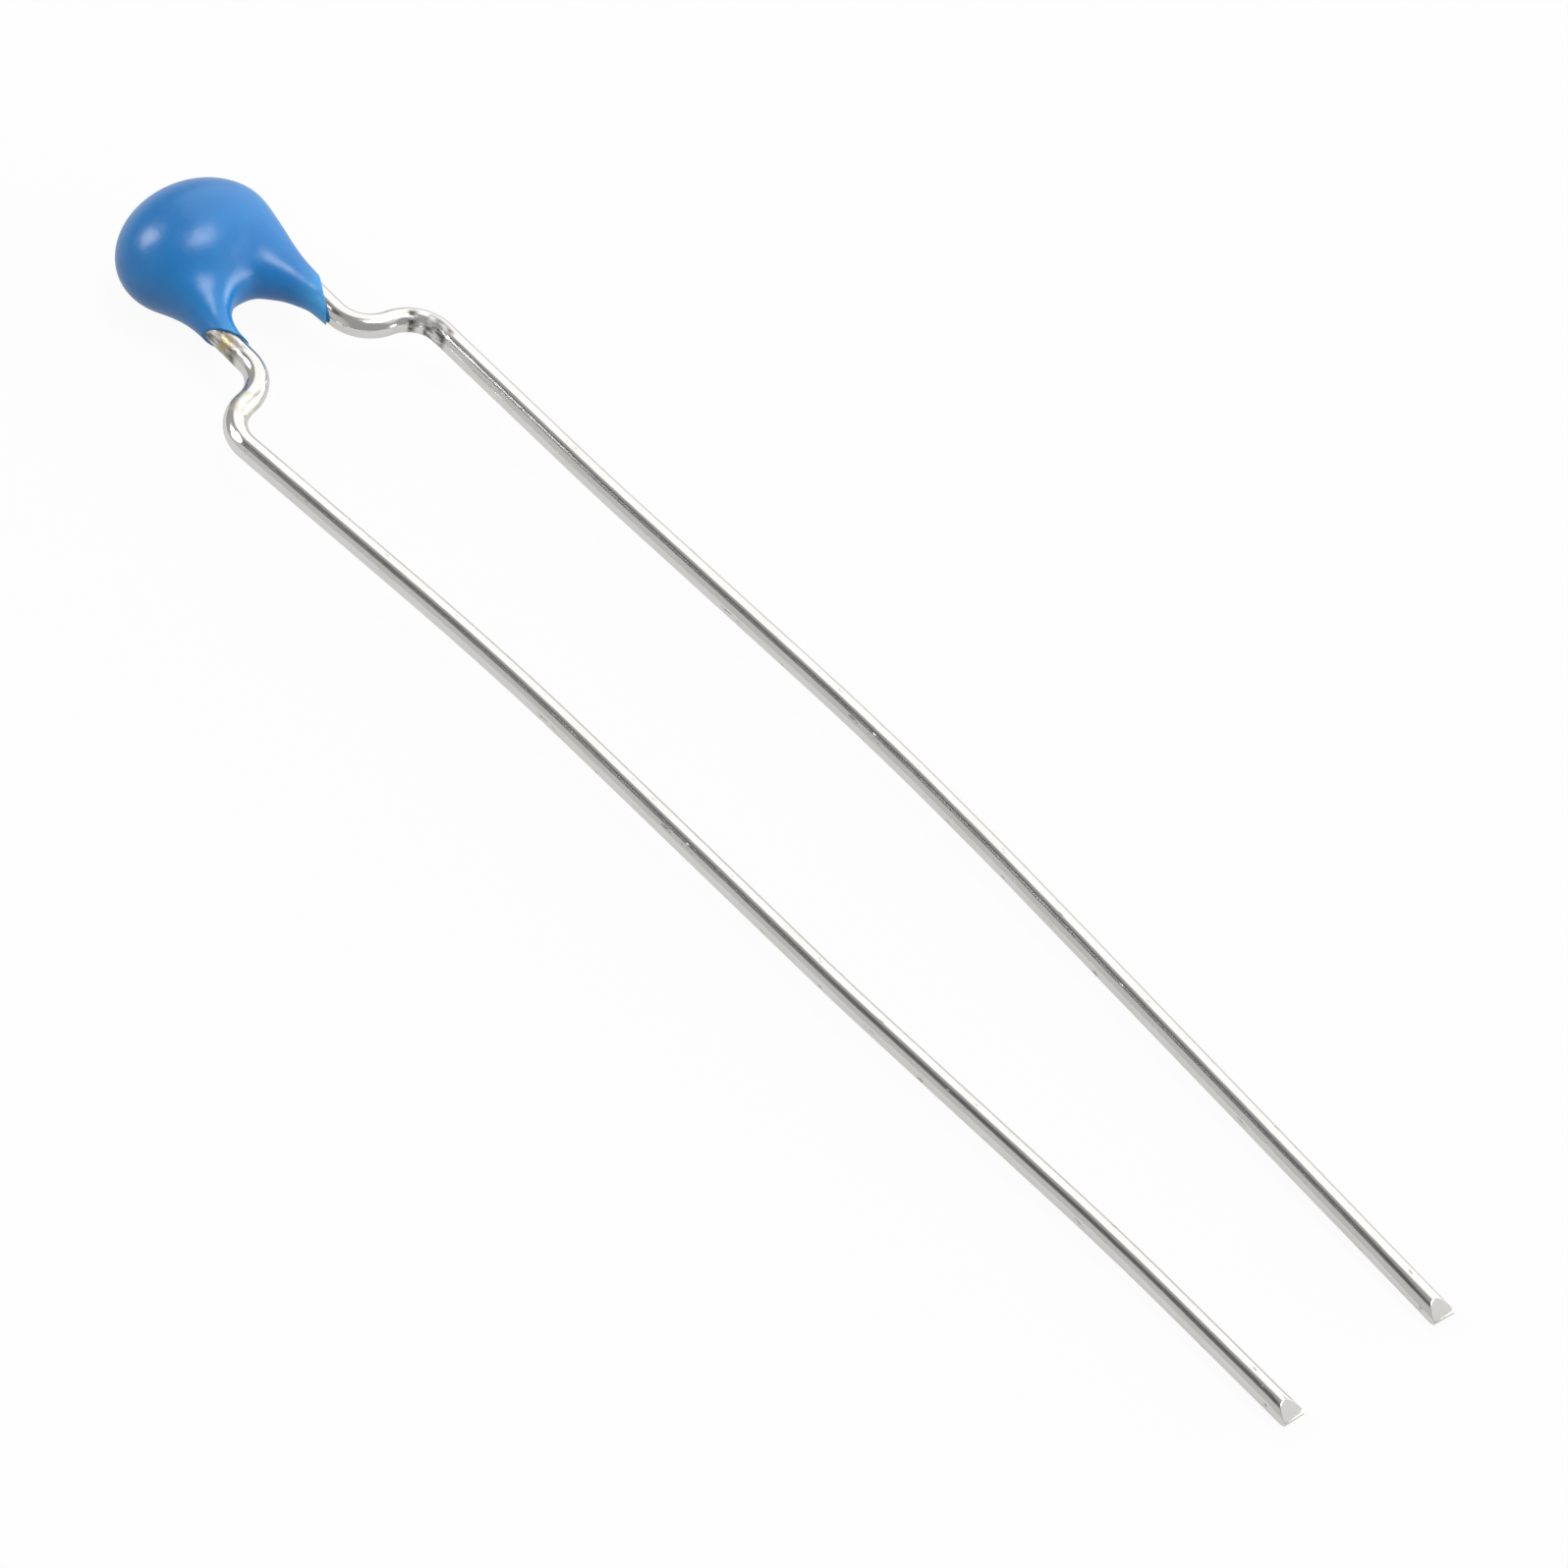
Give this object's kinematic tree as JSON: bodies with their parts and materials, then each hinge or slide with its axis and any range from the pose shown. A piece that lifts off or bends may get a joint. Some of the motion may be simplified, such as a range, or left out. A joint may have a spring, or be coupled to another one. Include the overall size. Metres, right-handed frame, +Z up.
{
  "type": "ceramic capacitor",
  "caption": "Small blue epoxy-dipped multilayer ceramic capacitor with formed radial wire leads that kink outwards to a wider pitch.",
  "frame": {"origin": "middle of the footprint, on the surface that the capacitor lies on", "axes": "+X along the leads from the body towards the cut tips, +Y across the leads, +Z up from the surface"},
  "size_m": [0.0364, 0.0058, 0.0024],
  "materials": {
    "blue_epoxy": "satin-gloss dipped epoxy",
    "titanate_ceramic": "matt fired",
    "nickel_layer": "fired metal",
    "plated_termination": "satin plated",
    "solder": "smooth, bright",
    "tinned_wire": "bright tinned, drawn"
  },
  "bodies": {
    "root": {"epoxy_coating": "blue_epoxy", "ceramic_chip": "titanate_ceramic", "electrodes_left": "nickel_layer", "electrodes_right": "nickel_layer", "termination_left": "plated_termination", "termination_right": "plated_termination", "solder_left": "solder", "solder_right": "solder", "lead_left": "tinned_wire", "lead_right": "tinned_wire"}
  },
  "joints": []
}
